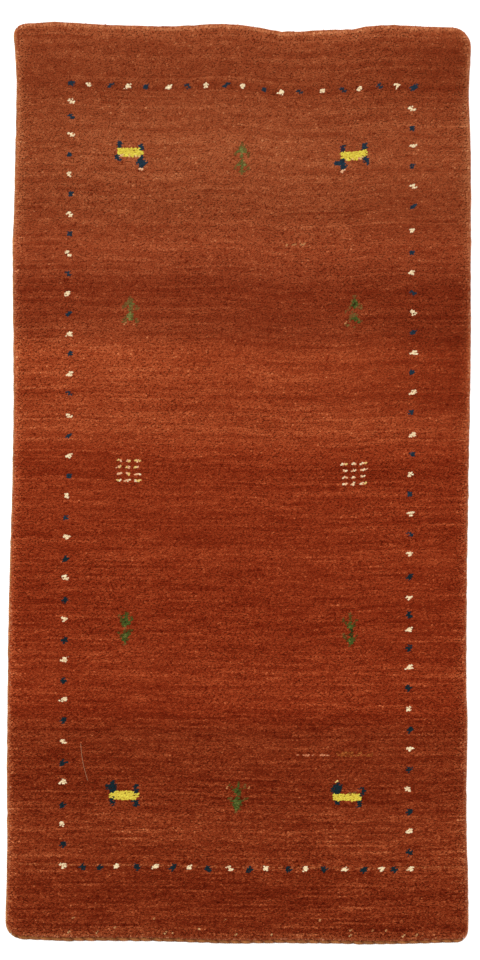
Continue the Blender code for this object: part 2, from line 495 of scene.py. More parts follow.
# The dotted border, one letter of the charts a dot. Spaces are counted in knots, dot to dot
Dots = namedtuple("Dots", "name column row step_column step_row colours spaces")
BORDER_DOTS = (
    Dots("far row", 23, 25, 1, 0, "NCNCNCNCNCNCNCNCNCN",
         (8, 10, 8, 9, 10, 9, 9, 9, 8, 9, 8, 9, 11, 9, 8, 9, 8, 8)),
    Dots("near row", 23, 378, 1, 0, "CKKCKCKCKCKCKCKCKCKC",
         (9, 8, 8, 9, 8, 8, 8, 8, 10, 9, 8, 10, 8, 8, 9, 9, 8, 6, 8)),
    Dots("left column", 23, 25, 0, 1, "NC" * 12 + "KC" * 8,
         (8, 7, 8, 9, 9, 9, 9, 9, 9, 9, 9, 9, 9, 9, 9, 9, 10, 9, 9, 9,
          9, 10, 9, 9, 9, 10, 9, 9, 9, 9, 9, 9, 10, 9, 9, 10, 9, 9, 10)),
    Dots("right column", 181, 26, 0, 1, "NC" * 12 + "KC" * 8,
         (9, 9, 8, 9, 9, 9, 11, 10, 9, 9, 9, 9, 9, 9, 9, 9, 10, 9, 9, 9,
          9, 9, 9, 10, 10, 7, 7, 8, 9, 9, 10, 9, 9, 9, 9, 10, 9, 9, 8)),
)
DOT_CHARTS = {
    "C": (("##.", ".##"), ("###", ".#."), (".##", "###"), ("##.", "##.")),
    "N": (("##.", "##."), (".##", "##."), ("##.", ".##"), (".##", ".##")),
    "K": ((".#.", "###", ".##"), ("##.", "###", ".#."), (".#.", "###", "##."), (".##", "###", ".#.")),
}

# Lengths of odd yarn knotted into the rust: row, first and last column, and how many of the
# knots along them show it
OddYarn = namedtuple("OddYarn", "row first last wool share")
ODD_YARNS = (
    OddYarn(row=378, first=3, last=30, wool="pale_rust", share=0.90),
    OddYarn(row=378, first=30, last=170, wool="pale_rust", share=0.75),
    OddYarn(row=378, first=170, last=203, wool="pale_rust", share=0.85),
    OddYarn(row=326, first=147, last=160, wool="orange", share=0.60),
    OddYarn(row=327, first=149, last=166, wool="orange", share=0.85),
    OddYarn(row=327, first=130, last=145, wool="salmon", share=0.35),
    OddYarn(row=95, first=123, last=132, wool="tan", share=0.60),
    OddYarn(row=402, first=4, last=202, wool="tan", share=0.012),
    OddYarn(row=406, first=4, last=202, wool="tan", share=0.030),
    OddYarn(row=408, first=4, last=202, wool="tan", share=0.045),
)

# A pale hair that lies on the pile
HAIR_PLACES = ((-0.2398, -0.3963), (-0.2385, -0.4120), (-0.2355, -0.4300), (-0.2291, -0.4528))
HAIR_RADIUS = 0.30 * MM
HAIR_SIDES = 6
HAIR_STEPS = 24
HAIR_COLOUR = (0.31, 0.15, 0.08)

# The camera hangs over the rug and looks straight down. The seen length is what the height of
# the picture covers at the rug's widest line
CAMERA_HEIGHT = 6.0
CAMERA_PLACE = (2.6 * MM, 4.7 * MM)
SEEN_LENGTH = 1.4625
SENSOR = 36.0
CAMERA_SEES_TO = 100.0

# Light from all round and from a soft sun, whose tilt and spread are in degrees, and the floor
WORLD_STRENGTH = 1.0
SUN_STRENGTH = 2.5
SUN_SPREAD = 24
SUN_TILT = (-20, -12)
FLOOR_REACH = 40.0
FLOOR_DROP = 0.2 * MM
FLOOR_WHITE = 0.93
FLOOR_ROUGHNESS = 0.8

# How many fibres a wool has to the metre, how much they mottle its dye, its roughness, and
# the height of its fine relief
Finish = namedtuple("Finish", "fibres mottle roughness relief")
PILE_FINISH = Finish(fibres=700.0, mottle=0.30, roughness=0.95, relief=0.25 * MM)
CORD_FINISH = Finish(fibres=1100.0, mottle=0.35, roughness=0.93, relief=0.20 * MM)
GROUND_FINISH = Finish(fibres=900.0, mottle=0.40, roughness=0.95, relief=0.30 * MM)
BACK_FINISH = Finish(fibres=900.0, mottle=0.35, roughness=0.93, relief=0.25 * MM)
FIBRE_DETAIL = 3.0
FIBRE_ROUGHENS = 0.1
WOOL_SPECULAR = 0.03

# Relief of the back: each knot shows two loops across, and each row one ridge. The ground between
# them lies low. Its colour follows the relief: painted light on loops and ridges, painted shade below
LOOPS_PER_KNOT = 2
LOOP_RELIEF = 0.15
RIDGE_RELIEF = 0.35
FIBRE_RELIEF = 0.3
MEAN_RELIEF = 0.5
BACK_PAINTED_SHADE = 0.35

# The pile's four pieces, each from one row of knots up to another
PILE_PIECES = (
    ("pile_far_end", 0, 103),
    ("pile_upper_field", 103, 205),
    ("pile_lower_field", 205, 308),
    ("pile_near_end", 308, ROWS),
)


def level_ring(node, height):
    """Places of a node's points at one height, in order round the rug."""
    points = np.array([vertex.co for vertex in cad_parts[node].data.vertices])
    level = points[np.abs(points[:, 2] - height) < LEVEL, :2]
    level = level[np.argsort(np.arctan2(level[:, 1], level[:, 0]))]
    apart = np.linalg.norm(level - np.roll(level, 1, 0), axis=1)
    return level[apart > SAME_POINT]


def outward_from(ring):
    """Direction outwards at each point of a ring that runs anticlockwise."""
    ahead = np.roll(ring, -1, 0) - np.roll(ring, 1, 0)
    outward = np.stack((ahead[:, 1], -ahead[:, 0]), 1)
    return outward / np.linalg.norm(outward, axis=1, keepdims=True)


def inset_and_outward(places, ring):
    """How far places lie inside a ring, and the direction from each to the ring's nearest point."""
    nearest = np.full(len(places), np.inf)
    away = np.zeros((len(places), 2))
    inside = np.ones(len(places), bool)
    for start, end in zip(ring, np.roll(ring, -1, 0)):
        run = end - start
        offset = places - start
        share = np.clip(offset @ run / (run @ run), 0, 1)
        offset = offset - share[:, None] * run
        distance = np.linalg.norm(offset, axis=1)
        closer = distance < nearest
        nearest[closer] = distance[closer]
        away[closer] = offset[closer]
        inside[closer] = (run[0] * offset[:, 1] - run[1] * offset[:, 0])[closer] > 0
    sign = np.where(inside, 1.0, -1.0)
    outward = -away * (sign / np.maximum(nearest, SAME_POINT * MM))[:, None]
    return nearest * sign, outward


def side_line(ring, axis, sign):
    """One side of a ring without its round corners: places along it, in order, and across it."""
    along = ring[:, 1 - axis]
    straight = np.abs(along) < np.abs(along).max() - CORNER_ZONE
    side = ring[straight & (np.sign(ring[:, axis]) == sign)]
    side = side[np.argsort(side[:, 1 - axis])]
    return side[:, 1 - axis], side[:, axis]


def loom_places(ring, across, along):
    """Places on the rug of shares across and along the loom, from its left side and near end."""
    left, right = side_line(ring, 0, -1), side_line(ring, 0, 1)
    near, far = side_line(ring, 1, -1), side_line(ring, 1, 1)
    low, high = ring.min(0), ring.max(0)
    x = low[0] + across * (high[0] - low[0])
    y = low[1] + along * (high[1] - low[1])
    # The side lines depend on y and the end lines on x, so both are settled in two rounds
    for _ in range(2):
        start = np.interp(y, *left) + FIRST_KNOT_INSET
        x = start + across * (np.interp(y, *right) - FIRST_KNOT_INSET - start)
        start = np.interp(x, *near) + NEAR_KNOT_INSET
        y = start + along * (np.interp(x, *far) - FIRST_KNOT_INSET - start)
    return np.stack((x, y), -1)


def pile_edge(ring):
    """The ring that the pile reaches. At the near end it stands back and shows more of the cord."""
    outward = outward_from(ring)
    return ring - outward * NEAR_SET_BACK * np.maximum(-outward[:, 1:], 0)


def swell(places):
    """Slow rise and fall of the pile surface."""
    total = np.zeros(places.shape[:-1])
    for wave in SWELLS:
        phase = wave.across_lean * places[..., 0] + wave.along_lean * places[..., 1]
        total += wave.height * np.sin(math.tau * phase / wave.length)
    return total


def wool(name):
    """The colour of one wool, by name."""
    return np.array(WOOLS[name])


def abrash_dyes():
    """The rust wool of each row of knots."""
    rows = [band.row for band in ABRASH]
    lots = np.array([wool(band.wool) for band in ABRASH])
    shades = toned(lots, np.array([band.tone for band in ABRASH]))
    every = np.arange(ROWS)
    return np.stack([np.interp(every, rows, shades[:, channel]) for channel in range(3)], 1)


def yarn_tones(random):
    """Tone of each length of yarn: a few dozen knots of one row, one length after another."""
    tones = np.zeros((ROWS, COLUMNS))
    shortest, longest = YARN_LENGTH_KNOTS
    for row in range(ROWS):
        column = -random.integers(longest)
        while column < COLUMNS:
            length = random.integers(shortest, longest)
            tones[row, max(column, 0):max(column + length, 0)] = random.normal()
            column += length
    return tones


def clump_tones(random, knots_across, knots_along):
    """Tone of the felted clumps that a few neighbouring knots make together."""
    tones = random.normal(size=(ROWS, COLUMNS))
    for axis, knots in ((1, knots_across), (0, knots_along)):
        tones = sum(np.roll(tones, step, axis) for step in range(knots))
    return tones / tones.std()


def toned(dyes, tones):
    """Dyes made paler or darker, as by more or less dye in the wool. Painted light and shade take the
    same curve.
    """
    return dyes * tones[..., None] ** TONE_POWERS


def edge_painted_light_tones(inset):
    """Painted light on the pile near the rug's edge, where it splays out and its strands' sides catch
    the light.
    """
    return 1 + EDGE_PAINTED_LIGHT * np.exp(-np.maximum(inset, 0) / EDGE_PAINTED_LIGHT_FADES)


def patch_tones(places):
    """Tone of the lighter, darker and stained places over the whole pile, and of its painted shade by
    the sides.
    """
    tones = np.ones(places.shape[:-1])
    for patch in PATCHES:
        away_x = (places[..., 0] - patch.x) / patch.reach_x
        away_y = (places[..., 1] - patch.y) / patch.reach_y
        tones *= 1 + (patch.tone - 1) * np.exp(-(away_x**2) - away_y**2)
    return tones


def near_share():
    """0 at the far end and 1 at the near end, one value a row."""
    return np.linspace(0, 1, ROWS)[:, None]


def field_dyes(places, random):
    """The rust dye of every knot."""
    row_tone = ROW_TONE * random.normal(size=(ROWS, 1))
    far_tone, near_tone = LENGTH_TONE
    length_tone = (far_tone + (near_tone - far_tone) * near_share()) * yarn_tones(random)
    knot_tone = KNOT_TONE * random.normal(size=(ROWS, COLUMNS))
    far_tone, near_tone = CLUMP_TONE
    clump_tone = far_tone * (1 - near_share()) * clump_tones(random, *ROUND_CLUMP)
    clump_tone = clump_tone + near_tone * near_share() * clump_tones(random, *LONG_CLUMP)
    rust = toned(abrash_dyes()[:, None, :], patch_tones(places))
    return toned(rust, np.exp(row_tone + length_tone + clump_tone + knot_tone))


def stamp(dyes, field, chart, column, row, wools):
    """Knots a chart into the dyes. A letter that wools doesn't name is left as rust field."""
    for down, letters in enumerate(chart):
        for right, letter in enumerate(letters):
            if letter in wools:
                dyes[row + down, column + right] = wool(wools[letter])
                field[row + down, column + right] = False


def knot_border(dyes, field, random):
    """The four lines of dots."""
    for line in BORDER_DOTS:
        column, row = line.column, line.row
        for letter, space in zip(line.colours, (*line.spaces, 0)):
            charts = DOT_CHARTS[letter]
            chart = charts[random.integers(len(charts))]
            stamp(dyes, field, chart, column - 1, row, {"#": CHART_WOOLS[letter]})
            column += line.step_column * space
            row += line.step_row * space


def knot_odd_yarns(dyes, field, random):
    """The lengths of odd yarn, wherever no motif has taken the knot."""
    for yarn in ODD_YARNS:
        for column in range(yarn.first, yarn.last):
            if random.random() < yarn.share and field[yarn.row, column]:
                dyes[yarn.row, column] = wool(yarn.wool)


def knot_dyes(places):
    """The dye of every knot of the rug, and which of them are plain rust field."""
    random = np.random.default_rng(SEED)
    dyes = field_dyes(places, random)
    field = np.ones((ROWS, COLUMNS), bool)
    for motif in MOTIFS:
        stamp(dyes, field, motif.chart, motif.column, motif.row, CHART_WOOLS)
    knot_border(dyes, field, random)
    knot_odd_yarns(dyes, field, random)
    return dyes, field


def strand_tones(rows, field, random):
    """Tone of each strand: uneven wool, with light and dark flecks in the field."""
    share = rows / (ROWS - 1)
    far_tone, near_tone = STRAND_TONE
    spread = np.where(field, far_tone + (near_tone - far_tone) * share, MOTIF_TONE)
    tones = np.exp(spread * random.normal(size=len(rows)))
    chance = random.random(len(rows))
    tones[field & (chance < LIGHT_FLECKS)] *= LIGHT_FLECK_TONE
    tones[field & (chance < PALE_FLECKS)] *= PALE_FLECK_TONE
    far_flecks, near_flecks = DARK_FLECKS
    dark_flecks = far_flecks + (near_flecks - far_flecks) * share
    tones[field & (chance > 1 - dark_flecks)] *= DARK_FLECK_TONE
    return tones


def strand_mesh(name, tips, leans, squash, fullness, root_painted_shades, dyes, random):
    """Cut wool strands as one mesh. Each is a four-sided tip that points the way it leans."""
    count = len(tips)
    leans = leans / np.linalg.norm(leans, axis=1, keepdims=True)
    aside = np.cross(leans, STRAND_CROSSWAYS)
    aside /= np.linalg.norm(aside, axis=1, keepdims=True)
    across = np.cross(leans, aside)
    turns = random.random(count) * math.tau
    radii = STRAND_RADIUS * fullness * random.uniform(*STRAND_RADIUS_SPREAD, count)
    corners = [tips]
    for side in range(STRAND_SIDES):
        angle = turns + math.tau * side / STRAND_SIDES
        ring = np.cos(angle)[:, None] * aside + np.sin(angle)[:, None] * across
        ring[:, :2] *= squash
        corners.append(tips - leans * STRAND_REACH + ring * radii[:, None])
    points = np.stack(corners, 1).reshape(-1, 3)
    first = np.arange(count) * (STRAND_SIDES + 1)
    faces = []
    for side in range(STRAND_SIDES):
        following = (side + 1) % STRAND_SIDES
        faces.append(np.stack((first, first + 1 + side, first + 1 + following), 1))
    # Each strand's tip gets painted light and its root painted shade
    colours = np.repeat(dyes[:, None, :], STRAND_SIDES + 1, 1)
    colours[:, 0] *= TIP_PAINTED_LIGHT
    colours[:, 1:] *= root_painted_shades[:, None, None]
    return dyed_mesh(name, points, np.concatenate(faces), colours.reshape(-1, 3))


def dyed_mesh(name, points, faces, colours):
    """A smooth mesh whose points carry their dye, with any painted light and shade. Faces all have
    the same number of corners.
    """
    faces = np.asarray(faces, np.int32)
    mesh = bpy.data.meshes.new(name)
    mesh.vertices.add(len(points))
    mesh.vertices.foreach_set("co", np.asarray(points, np.float32).ravel())
    mesh.loops.add(faces.size)
    mesh.loops.foreach_set("vertex_index", faces.ravel())
    mesh.polygons.add(len(faces))
    starts = np.arange(0, faces.size, faces.shape[1], dtype=np.int32)
    mesh.polygons.foreach_set("loop_start", starts)
    mesh.update(calc_edges=True)
    # The dye attribute also carries any painted light and shade
    dye = mesh.color_attributes.new("dye", "FLOAT_COLOR", "POINT")
    opaque = np.ones((len(points), 1))
    dye.data.foreach_set("color", np.hstack((colours, opaque)).astype(np.float32).ravel())
    mesh.shade_smooth()
    return mesh


def lay_flat_uv(mesh):
    """A map of the piece as seen from above, from corner to corner."""
    points = np.zeros(len(mesh.vertices) * 3, np.float32)
    mesh.vertices.foreach_get("co", points)
    flat = points.reshape(-1, 3)[:, :2]
    low, high = flat.min(0), flat.max(0)
    corner = np.zeros(len(mesh.loops), np.int32)
    mesh.loops.foreach_get("vertex_index", corner)
    layer = mesh.uv_layers.new(name="OFBake")
    layer.data.foreach_set("uv", ((flat - low) / (high - low))[corner].ravel())


def add_piece(mesh, material):
    """Puts a mesh in the scene as a piece of the rug."""
    mesh.materials.append(material)
    piece = bpy.data.objects.new(mesh.name, mesh)
    bpy.context.scene.collection.objects.link(piece)
    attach(piece, "root")
    return piece


def pile_piece(name, rows, ring, knots, dyes, field, material):
    """The pile of some rows of knots: two strands a knot, fanned out over the rug's edge."""
    random = np.random.default_rng([SEED, rows.start])
    kept = np.stack(np.meshgrid(rows, np.arange(COLUMNS), indexing="ij"), -1).reshape(-1, 2)
    row, column = np.repeat(kept, STRANDS_PER_KNOT, 0).T
    side = np.tile((-1.0, 1.0), len(kept))
    places = knots[row, column]
    places = places + np.stack((side * STRAND_ASIDE, side * STRAND_AHEAD), 1)
    places += STRAND_SCATTER * random.normal(size=places.shape)
    inset, outward = inset_and_outward(places, ring)
    stays = inset > DROPPED_INSET
    row, column, places = row[stays], column[stays], places[stays]
    inset, outward = inset[stays], outward[stays]
    fan = FAN_OUT * np.exp(-(inset - FIRST_KNOT_INSET) / FAN_OUT_FADES)
    tip_inset = inset - fan
    heights = np.interp(
        tip_inset,
        [shoulder.inset for shoulder in PILE_SHOULDER],
        [shoulder.height for shoulder in PILE_SHOULDER],
    )
    tips = np.zeros((len(places), 3))
    tips[:, :2] = places + outward * fan[:, None]
    plain = field[row, column]
    tips[:, 2] = heights + STRAND_HEIGHT_SCATTER * random.normal(size=len(places)) + swell(places)
    tips[:, 2] += np.where(plain, 0, MOTIF_RISE)
    leans = np.zeros_like(tips)
    leans[:, :2] = outward * fan[:, None] + STRAND_LEAN * random.normal(size=places.shape)
    leans[:, 1] -= STRAND_LEAN
    leans[:, 2] = STRAND_REACH
    # Strands near the edge are lightened with painted light
    tones = strand_tones(row, plain, random) * edge_painted_light_tones(tip_inset)
    colours = toned(dyes[row, column], tones)
    # Painted shade at the roots of the field's strands, none at the motifs'
    root_painted_shades = np.where(plain, ROOT_PAINTED_SHADE, MOTIF_ROOT_PAINTED_SHADE)
    near = row[:, None] / (ROWS - 1)
    squash = np.array(STRAND_SQUASH_FAR) * (1 - near) + np.array(STRAND_SQUASH_NEAR) * near
    fullness = np.where(plain, 1, MOTIF_FULLNESS)
    mesh = strand_mesh(name, tips, leans, squash, fullness, root_painted_shades, colours, random)
    lay_flat_uv(mesh)
    return add_piece(mesh, material)


def along_ring(ring, pitch):
    """Places evenly spaced along a closed ring, with their outward directions."""
    closed = np.vstack((ring, ring[:1]))
    travelled = np.concatenate(([0], np.cumsum(np.linalg.norm(np.diff(closed, axis=0), axis=1))))
    count = round(travelled[-1] / pitch)
    stops = np.arange(count) * travelled[-1] / count
    places = np.stack([np.interp(stops, travelled, closed[:, axis]) for axis in (0, 1)], 1)
    return places, outward_from(places)


def row_of(places, ring):
    """The row of knots that a place of the rim belongs to."""
    low, high = ring[:, 1].min(), ring[:, 1].max()
    share = np.clip((high - places[:, 1]) / (high - low), 0, 1)
    return np.round(share * (ROWS - 1)).astype(int)


def pile_rim(ring, material):
    """The side of the pile: rows of strands that lean out over the edge cords."""
    random = np.random.default_rng([SEED, ROWS])
    places, outward = along_ring(ring, RIM_PITCH)
    tips, leans = [], []
    for line in RIM_ROWS:
        spots = places + RIM_PITCH / 2 * random.uniform(-1, 1, (len(places), 1)) * outward[:, ::-1]
        tip = np.zeros((len(places), 3))
        tip[:, :2] = spots - outward * line.inset
        tip[:, :2] += outward * RIM_SCATTER * random.normal(size=(len(places), 1))
        tip[:, 2] = line.height + STRAND_SCATTER * random.normal(size=len(places))
        lean = np.zeros_like(tip)
        lean[:, :2] = outward
        lean[:, 2] = (line.height - RIM_ROWS[0].height) / WIDEST_HEIGHT * RIM_UPTURN
        tips.append(tip)
        leans.append(lean)
    tips, leans = np.concatenate(tips), np.concatenate(leans)
    rust = abrash_dyes()[row_of(tips, ring)]
    # Painted sheen: salmon wool mixed into the rim strands, which are lightened with painted light
    # too
    pale = RIM_PAINTED_SHEEN * random.random((len(tips), 1)) ** RIM_PAINTED_SHEEN_POWER
    tones = RIM_PAINTED_LIGHT * np.exp(RIM_TONE * random.normal(size=len(tips)))
    colours = toned(rust * (1 - pale) + wool("salmon") * pale, tones)
    # Painted shade at the roots of the rim strands
    root_painted_shades = np.full(len(tips), ROOT_PAINTED_SHADE)
    mesh = strand_mesh("pile_rim", tips, leans, (1, 1), 1, root_painted_shades, colours, random)
    lay_flat_uv(mesh)
    return add_piece(mesh, material)


def lofted(rings):
    """Points and quads of a tube through rings of points, drawn together at its two ends."""
    around = len(rings[0])
    first_end = np.tile(rings[0].mean(0), (around, 1))
    last_end = np.tile(rings[-1].mean(0), (around, 1))
    rings = [first_end, *rings, last_end]
    points = np.concatenate(rings)
    first = np.arange(around)
    following = np.roll(first, -1)
    quads = []
    for level in range(len(rings) - 1):
        low, high = level * around, (level + 1) * around
        quads.append(np.stack((low + first, low + following, high + following, high + first), 1))
    return points, np.concatenate(quads)


def parts_at(shape, height):
    """The faces of a shape that lie level at one height, with their edges and points."""
    flat = [
        face for face in shape.faces
        if all(abs(vertex.co.z - height) < LEVEL / 2 for vertex in face.verts)
    ]
    return list({part for face in flat for part in (*face.verts, *face.edges, face)})


def cut_in_squares(shape, height, low, high):
    """Cuts the flat face at a height along evenly spaced lines in X and Y."""
    for axis in (0, 1):
        squares = round((high[axis] - low[axis]) / GROUND_SQUARE)
        for i in range(1, squares):
            place, normal = [0, 0, height], [0, 0, 0]
            place[axis] = low[axis] + (high[axis] - low[axis]) * i / squares
            normal[axis] = 1
            parts = parts_at(shape, height)
            bmesh.ops.bisect_plane(shape, geom=parts, dist=SNAP, plane_co=place, plane_no=normal)


def knotted_cloth(ring, material):
    """The ground that the pile is knotted on: one flat solid with a rounded, set-in edge."""
    outward = outward_from(ring)
    shape = bmesh.new()
    rings = []
    for shoulder in GROUND_SECTION:
        flat = ring - outward * shoulder.inset
        rings.append([shape.verts.new((*place, shoulder.height)) for place in flat])
    for lower, upper in zip(rings, rings[1:]):
        for i in range(len(ring)):
            j = (i + 1) % len(ring)
            shape.faces.new((lower[i], lower[j], upper[j], upper[i]))
    shape.faces.new(rings[0][::-1])
    shape.faces.new(rings[-1])
    cut_in_squares(shape, GROUND_SECTION[0].height, ring.min(0), ring.max(0))
    cut_in_squares(shape, GROUND_SECTION[-1].height, ring.min(0), ring.max(0))
    bmesh.ops.triangulate(shape, faces=shape.faces)
    shape.verts.index_update()
    points = np.array([vertex.co for vertex in shape.verts])
    faces = [[vertex.index for vertex in face.verts] for face in shape.faces]
    shape.free()
    # The ground takes the rust of its rows, darkened with painted shade where it shows deep between
    # the strands
    rust = abrash_dyes()[row_of(points, ring)] * GROUND_PAINTED_SHADE
    mesh = dyed_mesh("knotted_cloth", points, faces, rust)
    piece = add_piece(mesh, material)
    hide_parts("pile_cloth")
    return piece


def knotted_back(ring, knots, dyes, material):
    """The back of the knots, whose rows show the same colours as the pile."""
    inset, _ = inset_and_outward(knots.reshape(-1, 2), ring)
    inside = (inset > DROPPED_INSET).reshape(ROWS, COLUMNS)
    index = np.arange(ROWS * COLUMNS).reshape(ROWS, COLUMNS)
    corners = (index[:-1, :-1], index[:-1, 1:], index[1:, 1:], index[1:, :-1])
    whole = inside[:-1, :-1] & inside[:-1, 1:] & inside[1:, 1:] & inside[1:, :-1]
    quads = np.stack([corner[whole] for corner in corners], 1)
    relief = BACK_KNOT_RELIEF * (np.indices((ROWS, COLUMNS)).sum(0) % 2)
    points = np.column_stack((knots.reshape(-1, 2), (BACK_HEIGHT + relief).ravel()))
    used, quads = np.unique(quads, return_inverse=True)
    quads = quads.reshape(-1, 4)
    mesh = dyed_mesh("knotted_back", points[used], quads, dyes.reshape(-1, 3)[used])
    loom = mesh.attributes.new("loom", "FLOAT_VECTOR", "POINT")
    row, column = np.divmod(used, COLUMNS)
    places = np.column_stack((column, row, np.zeros(len(used))))
    loom.data.foreach_set("vector", places.astype(np.float32).ravel())
    lay_flat_uv(mesh)
    return add_piece(mesh, material)


def cord_shows(outward):
    """How far a cord stands out past the pile where the edge faces a direction."""
    side = {cord.outward: cord.shows for cord in CORDS}
    across = np.where(outward[:, 0] < 0, side[(-1, 0)], side[(1, 0)])
    along = np.where(outward[:, 1] < 0, side[(0, -1)], side[(0, 1)])
    share = np.arctan2(np.abs(outward[:, 1]), np.abs(outward[:, 0])) / (math.pi / 2)
    return across * (1 - share) + along * share


def cord_line(cord, ring):
    """The middle line of one edge's cord in even steps, with the direction outwards at each."""
    outline = ring + outward_from(ring) * cord_shows(outward_from(ring))[:, None]
    middle = outline - outward_from(ring) * CORD_WIDTH / 2
    places, outward = along_ring(middle, YARN_TURN / CORD_STEPS_PER_TURN)
    facing = outward @ np.array(cord.outward, float)
    on_edge = facing > math.cos(math.pi / 4)
    first = np.flatnonzero(on_edge & ~np.roll(on_edge, 1))[0]
    order = (first + np.arange(on_edge.sum())) % len(places)
    return places[order], outward[order]


def edge_cord(cord, ring, material):
    """One edge's cord, wrapped in turns of yarn, and in coarse wraps too if it has them."""
    random = np.random.default_rng([SEED, CORDS.index(cord)])
    places, outward = cord_line(cord, ring)
    step = YARN_TURN / CORD_STEPS_PER_TURN
    travelled = np.arange(len(places)) * step
    angles = (np.arange(CORD_SIDES) + 0.5) * math.tau / CORD_SIDES
    flat = math.cos(math.pi / CORD_SIDES)
    turns = len(places) // CORD_STEPS_PER_TURN + 2
    turn_tones = np.exp(TURN_TONE * random.normal(size=turns))
    bends = np.arange(0, travelled[-1] + CORD_WOBBLE_LENGTH, CORD_WOBBLE_LENGTH)
    wobble = np.interp(travelled, bends, CORD_WOBBLE * random.normal(size=len(bends)))
    places = places + outward * wobble[:, None]
    rows, colours = [], []
    for place, out, along in zip(places, outward, travelled):
        across = CORD_WIDTH / 2 * np.cos(angles) / flat
        leaned = along - cord.lean * across / CORD_WIDTH
        turn = 0.5 - 0.5 * np.cos(math.tau * (leaned / YARN_TURN))
        wrap = 0.5 - 0.5 * np.cos(math.tau * leaned / cord.wrap)
        coarse = cord.wrap > YARN_TURN
        draw_in = YARN_DEPTH * turn + (WRAP_DEPTH * wrap**WRAP_GROOVE_POWER if coarse else 0)
        height = CORD_HEIGHT / 2 * (1 + np.sin(angles) / flat)
        height -= draw_in * np.maximum(0, np.sin(angles))
        spot = place[None, :] + out[None, :] * (across - draw_in * np.cos(angles))[:, None]
        rows.append(np.column_stack((spot, height)))
        gap = wrap**WRAP_GAP_POWER if coarse else TURN_GAP * turn
        # Painted shade darkens the groove between turns
        tone = turn_tones[(leaned / YARN_TURN).astype(int)] * (1 - GROOVE_PAINTED_SHADE * turn)
        mixed = wool(cord.wool) * (1 - gap)[:, None] + wool(cord.gap_wool) * gap[:, None]
        colours.append(mixed * tone[:, None])
    colours = [colours[0], *colours, colours[-1]]
    points, quads = lofted(rows)
    mesh = dyed_mesh(cord.name, points, quads[:, ::-1], np.concatenate(colours))
    mesh.validate()
    piece = add_piece(mesh, material)
    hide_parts(cord.node)
    return piece


def stray_hair(material):
    """A pale hair lying on the pile, as a thin bent tube."""
    stops = np.linspace(0, len(HAIR_PLACES) - 1, HAIR_STEPS)
    known = np.array(HAIR_PLACES)
    line = np.stack([np.interp(stops, range(len(known)), known[:, axis]) for axis in (0, 1)], 1)
    height = PILE_SHOULDER[-1].height + swell(line) + 2 * HAIR_RADIUS
    angles = np.arange(HAIR_SIDES) * math.tau / HAIR_SIDES
    rings = []
    for place, high in zip(line, height):
        x = place[0] + np.cos(angles) * HAIR_RADIUS
        y = np.full(HAIR_SIDES, place[1])
        z = high + np.sin(angles) * HAIR_RADIUS
        rings.append(np.column_stack((x, y, z)))
    points, quads = lofted(rings)
    mesh = dyed_mesh("stray_hair", points, quads, np.tile(HAIR_COLOUR, (len(points), 1)))
    return add_piece(mesh, material)


def new_group(name, inputs, outputs):
    """A shader node group with named sockets, and its input and output nodes."""
    group = bpy.data.node_groups.new(name, "ShaderNodeTree")
    for label, kind, value in inputs:
        socket = group.interface.new_socket(label, in_out="INPUT", socket_type=kind)
        socket.default_value = value
    for label, kind in outputs:
        group.interface.new_socket(label, in_out="OUTPUT", socket_type=kind)
    start = group.nodes.new("NodeGroupInput")
    end = group.nodes.new("NodeGroupOutput")
    return group, start, end


def math_node(tree, operation, first, second):
    """A math node on two sockets or numbers, and its result."""
    node = tree.nodes.new("ShaderNodeMath")
    node.operation = operation
    for slot, value in zip(node.inputs, (first, second)):
        if isinstance(value, bpy.types.NodeSocket):
            tree.links.new(value, slot)
        else:
            slot.default_value = value
    return node.outputs["Value"]


def wool_fibre_group():
    """Fine fibres of spun wool: they mottle its dye and give a little height and roughness."""
    group, start, end = new_group(
        "Wool fibre",
        (
            ("Dye", "NodeSocketColor", (*WOOLS["brick"], 1.0)),
            ("Fibres per metre", "NodeSocketFloat", PILE_FINISH.fibres),
            ("Mottle", "NodeSocketFloat", PILE_FINISH.mottle),
            ("Roughness", "NodeSocketFloat", PILE_FINISH.roughness),
        ),
        (
            ("Color", "NodeSocketColor"),
            ("Roughness", "NodeSocketFloat"),
            ("Height", "NodeSocketFloat"),
        ),
    )
    place = group.nodes.new("ShaderNodeTexCoord")
    fibres = group.nodes.new("ShaderNodeTexNoise")
    fibres.inputs["Detail"].default_value = FIBRE_DETAIL
    group.links.new(place.outputs["Object"], fibres.inputs["Vector"])
    group.links.new(start.outputs["Fibres per metre"], fibres.inputs["Scale"])
    # The noise runs from 0 to 1, so it is centred, and doubled to reach the mottle both ways
    centred = math_node(group, "SUBTRACT", fibres.outputs["Fac"], 0.5)
    scaled = math_node(group, "MULTIPLY", centred, start.outputs["Mottle"])
    doubled = math_node(group, "MULTIPLY", scaled, 2.0)
    brightness = math_node(group, "ADD", doubled, 1.0)
    mottled = group.nodes.new("ShaderNodeVectorMath")
    mottled.operation = "SCALE"
    group.links.new(start.outputs["Dye"], mottled.inputs[0])
    group.links.new(brightness, mottled.inputs["Scale"])
    rougher = math_node(group, "MULTIPLY", centred, FIBRE_ROUGHENS)
    rough = math_node(group, "ADD", rougher, start.outputs["Roughness"])
    group.links.new(mottled.outputs["Vector"], end.inputs["Color"])
    group.links.new(rough, end.inputs["Roughness"])
    group.links.new(fibres.outputs["Fac"], end.inputs["Height"])
    return group


